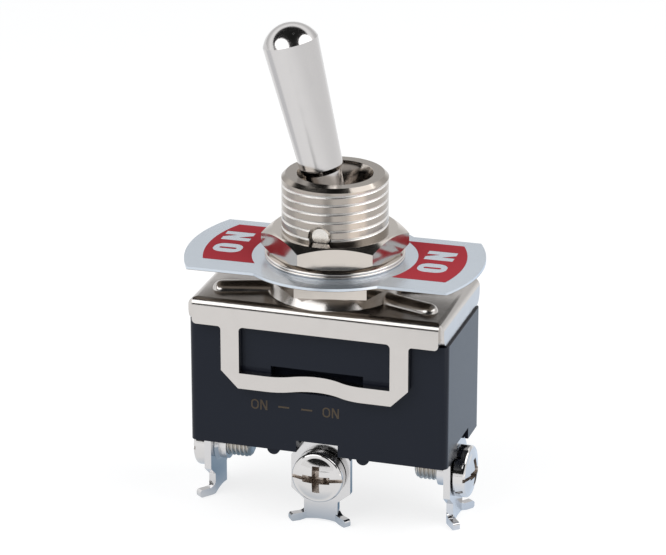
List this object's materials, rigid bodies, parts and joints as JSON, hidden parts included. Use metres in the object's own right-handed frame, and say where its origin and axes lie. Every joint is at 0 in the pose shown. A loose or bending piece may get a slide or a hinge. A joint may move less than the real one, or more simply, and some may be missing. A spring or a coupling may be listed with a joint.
{
  "type": "panel toggle switch",
  "caption": "Panel toggle switch with a threaded bushing, bat lever, clamped label plate and screw terminals under a moulded body.",
  "frame": {"origin": "on the bushing's axis at the panel seat, the top face of the lower nut, where the panel's back rests", "axes": "+Z along the bushing, out of the panel; +X along the body's long side, the way the lever swings; -Y is the front with the middle terminal"},
  "size_m": [0.0338, 0.0214, 0.0571],
  "materials": {
    "moulding": "smooth black moulding",
    "bracket_plate": "bright nickel plate",
    "bushing_plate": "bright nickel plate",
    "lever_plate": "bright nickel plate",
    "pin_steel": "ground steel",
    "nut_plate": "bright nickel plate",
    "washer_plate": "bright nickel plate",
    "label_metal": "satin with red fields",
    "fibre": "fibre board",
    "terminal_plate": "bright zinc plate",
    "screw_plate": "bright zinc plate",
    "plunger_plastic": "natural nylon",
    "spring_steel": "drawn wire",
    "rocker_brass": "stamped brass",
    "contact_silver": "silver alloy"
  },
  "bodies": {
    "switch_body": {"housing": "moulding", "bracket": "bracket_plate", "bushing": "bushing_plate", "pivot_pin": "pin_steel", "upper_nut": "nut_plate", "lock_washer": "washer_plate", "label_plate": "label_metal", "lower_nut": "nut_plate", "insulating_plate": "fibre", "terminal_left": "terminal_plate", "terminal_centre": "terminal_plate", "terminal_right": "terminal_plate", "rocker_pin": "pin_steel", "fixed_contact_left": "contact_silver", "fixed_contact_right": "contact_silver"},
    "lever": {"lever": "lever_plate", "plunger_spring": "spring_steel"},
    "plunger": {"plunger": "plunger_plastic"},
    "rocker": {"rocker": "rocker_brass", "rocker_contact_left": "contact_silver", "rocker_contact_right": "contact_silver"},
    "screw_left": {"terminal_screw_left": "screw_plate"},
    "screw_centre": {"terminal_screw_centre": "screw_plate"},
    "screw_right": {"terminal_screw_right": "screw_plate"}
  },
  "joints": [
    {"name": "lever_pivot", "type": "hinge", "parent": "switch_body", "child": "lever", "pos_m": [0, 0, 0.00441], "axis": [0, 1, 0], "range_deg": [0, 28.4]},
    {"name": "rocker_tilt", "type": "hinge", "parent": "switch_body", "child": "rocker", "pos_m": [0, 0, -0.0164], "axis": [0, 1, 0], "range_deg": [-16, 0]},
    {"name": "plunger_slide", "type": "slide", "parent": "lever", "child": "plunger", "axis": [-0.2453, 0, 0.9694], "range_m": [0, 0.0008], "stiffness_N_per_m": 300, "springref_m": -0.002, "deforming": ["plunger_spring"]},
    {"name": "screw_left_turn", "type": "hinge", "parent": "switch_body", "child": "screw_left", "pos_m": [-0.01465, 0, -0.0241], "axis": [-1, 0, 0], "continuous": true},
    {"name": "screw_centre_turn", "type": "hinge", "parent": "switch_body", "child": "screw_centre", "pos_m": [0, -0.00552, -0.0241], "axis": [0, -1, 0], "continuous": true},
    {"name": "screw_right_turn", "type": "hinge", "parent": "switch_body", "child": "screw_right", "pos_m": [0.01465, 0, -0.0241], "axis": [1, 0, 0], "continuous": true}
  ],
  "couplings": [
    {"joint": "rocker_tilt", "follows": "lever_pivot", "ratio": -0.56338}
  ]
}
